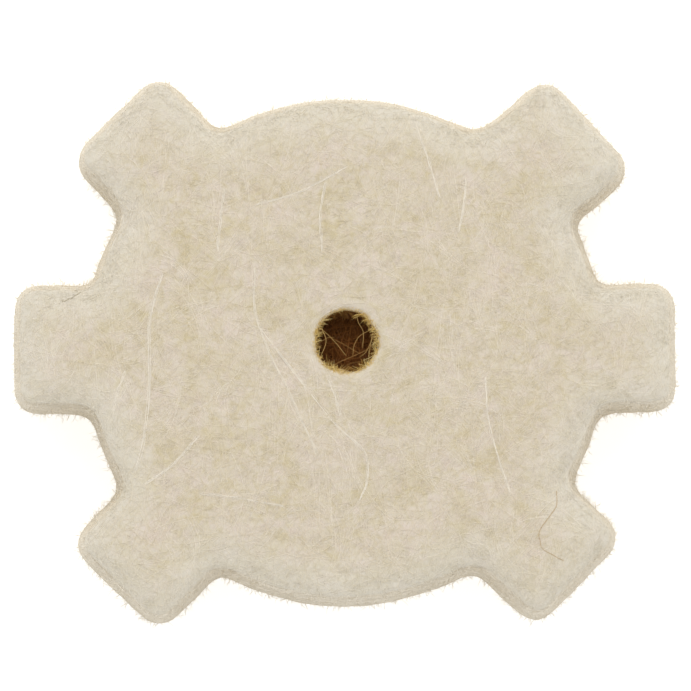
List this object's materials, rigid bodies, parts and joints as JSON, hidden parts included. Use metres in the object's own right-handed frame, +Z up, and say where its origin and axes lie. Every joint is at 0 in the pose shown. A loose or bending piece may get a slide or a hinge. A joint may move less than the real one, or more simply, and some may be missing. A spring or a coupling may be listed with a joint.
{
  "type": "felt polishing wheel",
  "caption": "Thick die-cut pad of pressed wool felt: a round disc with square tabs round its rim and a small punched centre hole, for polishing on a mandrel.",
  "frame": {"origin": "centre of the mandrel hole at the pad's bottom face", "axes": "+Z up along the mandrel hole, through the thickness; +X along the two tabs that lie opposite each other on the hole's own level, the pad's longest direction; +Y towards one of the two plain arcs that have no tab, the one nearer the hole"},
  "size_m": [0.0254, 0.0208, 0.0063],
  "materials": {
    "wool_felt": "undyed cream pressed wool felt, matte, matted fibres with loose hairs"
  },
  "bodies": {
    "root": {"felt_pad": "wool_felt"}
  },
  "joints": []
}
